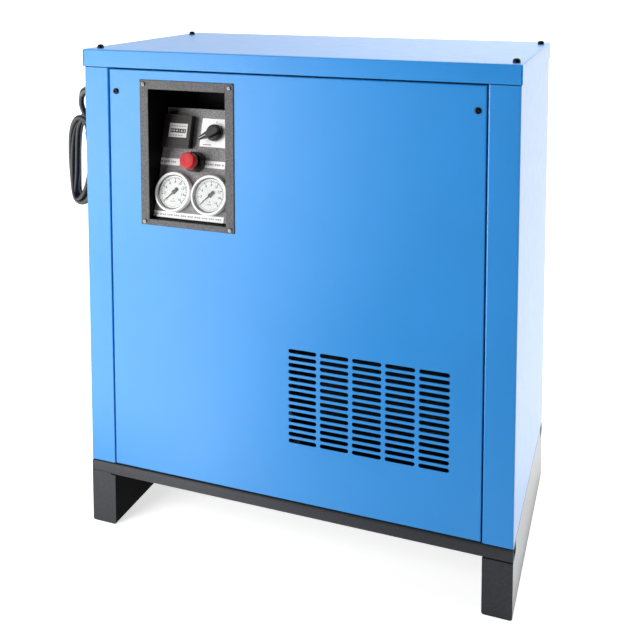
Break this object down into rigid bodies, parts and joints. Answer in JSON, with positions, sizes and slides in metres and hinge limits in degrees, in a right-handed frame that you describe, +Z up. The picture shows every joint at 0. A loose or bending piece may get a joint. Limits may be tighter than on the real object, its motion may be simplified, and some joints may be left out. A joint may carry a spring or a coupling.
{
  "type": "refrigerated air dryer",
  "caption": "Blue sheet-metal cabinet on a dark skid base: slotted grille, recessed tilted panel with dials, meter, switch and stop button, and a coiled lead.",
  "frame": {"origin": "under the middle of the whole object's box, on the floor; the cabinet's own middle is 41 mm towards +X of it, because the coiled lead hangs on the left", "axes": "+Z up, +Y from the front service panel towards the rear, +X to the right seen from the front"},
  "size_m": [0.8561, 0.4624, 0.8873],
  "materials": {
    "blue_powder_coat": "semi-gloss bright blue powder coat with fine orange peel",
    "charcoal_powder_coat": "satin charcoal powder coat",
    "grey_textured_coat": "matt dark grey fine-textured coat",
    "blackened_steel": "black oxide",
    "zinc_plated_steel": "bright zinc plate",
    "bright_ring": "polished stainless ring",
    "dial_white": "matt white printed sheet",
    "clear_lens": "clear flat lens",
    "black_plastic": "satin black moulded plastic",
    "meter_plastic": "satin brown-black moulded plastic",
    "white_sheet": "white scale plate",
    "red_plastic": "glossy red moulded plastic",
    "grey_enclosure": "light grey moulded enclosure",
    "cable_rubber": "black cable sheath",
    "compressor_enamel": "black stoved enamel",
    "aluminium_fins": "mill-finish aluminium",
    "copper_tube": "bright drawn copper",
    "brass": "turned brass",
    "black_foam": "closed-cell black insulation foam",
    "drain_hose": "translucent blue-grey hose"
  },
  "bodies": {
    "cabinet": {"air_inlet_pipe": "brass", "air_outlet_pipe": "brass", "base_front_beam": "charcoal_powder_coat", "base_pan": "charcoal_powder_coat", "base_rear_beam": "charcoal_powder_coat", "cable_gland": "black_plastic", "capillary_line": "copper_tube", "compressor_mount": "zinc_plated_steel", "condenser": "aluminium_fins", "discharge_line": "copper_tube", "drain_hose": "drain_hose", "drain_valve": "brass", "electrical_box": "grey_enclosure", "fan_motor": "compressor_enamel", "fan_shroud": "compressor_enamel", "filter_drier": "copper_tube", "heat_exchanger": "black_foam", "hot_gas_valve": "brass", "lid_screw_front_left": "blackened_steel", "lid_screw_front_right": "blackened_steel", "lid_screw_rear_left": "blackened_steel", "lid_screw_rear_right": "blackened_steel", "liquid_line": "copper_tube", "moisture_separator": "aluminium_fins", "power_cable": "cable_rubber", "rear_panel": "blue_powder_coat", "refrigerant_compressor": "compressor_enamel", "side_panel_left": "blue_powder_coat", "side_panel_right": "blue_powder_coat", "skid_left": "charcoal_powder_coat", "skid_right": "charcoal_powder_coat", "suction_line": "copper_tube", "top_lid": "blue_powder_coat"},
    "service_panel": {"front_panel": "blue_powder_coat", "control_recess": "grey_textured_coat", "bezel_screw_bottom_left": "zinc_plated_steel", "bezel_screw_top_left": "zinc_plated_steel", "bezel_screw_bottom_right": "zinc_plated_steel", "bezel_screw_top_right": "zinc_plated_steel", "control_plate": "grey_textured_coat", "gauge_case_left": "bright_ring", "gauge_dial_left": "dial_white", "gauge_lens_left": "clear_lens", "gauge_case_right": "bright_ring", "gauge_dial_right": "dial_white", "gauge_lens_right": "clear_lens", "stop_collar": "black_plastic", "stop_contact_block": "black_plastic", "hour_meter": "meter_plastic", "switch_plate": "white_sheet", "switch_body": "grey_enclosure"},
    "left_lock": {"panel_lock_left": "blackened_steel"},
    "right_lock": {"panel_lock_right": "blackened_steel"},
    "selector": {"switch_knob": "black_plastic"},
    "stop_plunger": {"stop_stem": "black_plastic"},
    "stop_cap": {"stop_head": "red_plastic"},
    "left_needle": {"gauge_needle_left": "blackened_steel"},
    "right_needle": {"gauge_needle_right": "blackened_steel"},
    "fan": {"fan_rotor": "aluminium_fins"},
    "drain_lever": {"drain_valve_handle": "red_plastic"}
  },
  "joints": [
    {"name": "service_panel_tilt", "type": "hinge", "parent": "cabinet", "child": "service_panel", "pos_m": [0.041, -0.22685, 0.1189], "axis": [1, 0, 0], "range_deg": [0, 30]},
    {"name": "left_lock_turn", "type": "hinge", "parent": "service_panel", "child": "left_lock", "pos_m": [-0.279, -0.22685, 0.8076], "axis": [0, -1, 0], "range_deg": [0, 90]},
    {"name": "right_lock_turn", "type": "hinge", "parent": "service_panel", "child": "right_lock", "pos_m": [0.361, -0.22685, 0.8076], "axis": [0, -1, 0], "range_deg": [0, 90]},
    {"name": "selector_turn", "type": "hinge", "parent": "service_panel", "child": "selector", "pos_m": [-0.1126, -0.16833, 0.7323], "axis": [0, -0.9563, 0.2924], "range_deg": [-90, 0]},
    {"name": "stop_press", "type": "slide", "parent": "service_panel", "child": "stop_plunger", "axis": [0, 0.9563, -0.2924], "range_m": [0, 0.005], "stiffness_N_per_m": 400, "springref_m": -0.002},
    {"name": "stop_release_twist", "type": "hinge", "parent": "stop_plunger", "child": "stop_cap", "pos_m": [-0.1433, -0.18403, 0.68094], "axis": [0, -0.9563, 0.2924], "range_deg": [-45, 0]},
    {"name": "left_needle_sweep", "type": "hinge", "parent": "service_panel", "child": "left_needle", "pos_m": [-0.1781, -0.2002, 0.62806], "axis": [0, -0.9563, 0.2924], "range_deg": [-270, 0]},
    {"name": "right_needle_sweep", "type": "hinge", "parent": "service_panel", "child": "right_needle", "pos_m": [-0.1067, -0.2002, 0.62806], "axis": [0, -0.9563, 0.2924], "range_deg": [-270, 0]},
    {"name": "fan_spin", "type": "hinge", "parent": "cabinet", "child": "fan", "pos_m": [0.191, -0.13155, 0.285], "axis": [0, 1, 0], "continuous": true},
    {"name": "drain_lever_turn", "type": "hinge", "parent": "cabinet", "child": "drain_lever", "pos_m": [0.011, 0.07315, 0.397], "axis": [0, 1, 0], "range_deg": [-90, 0]}
  ]
}
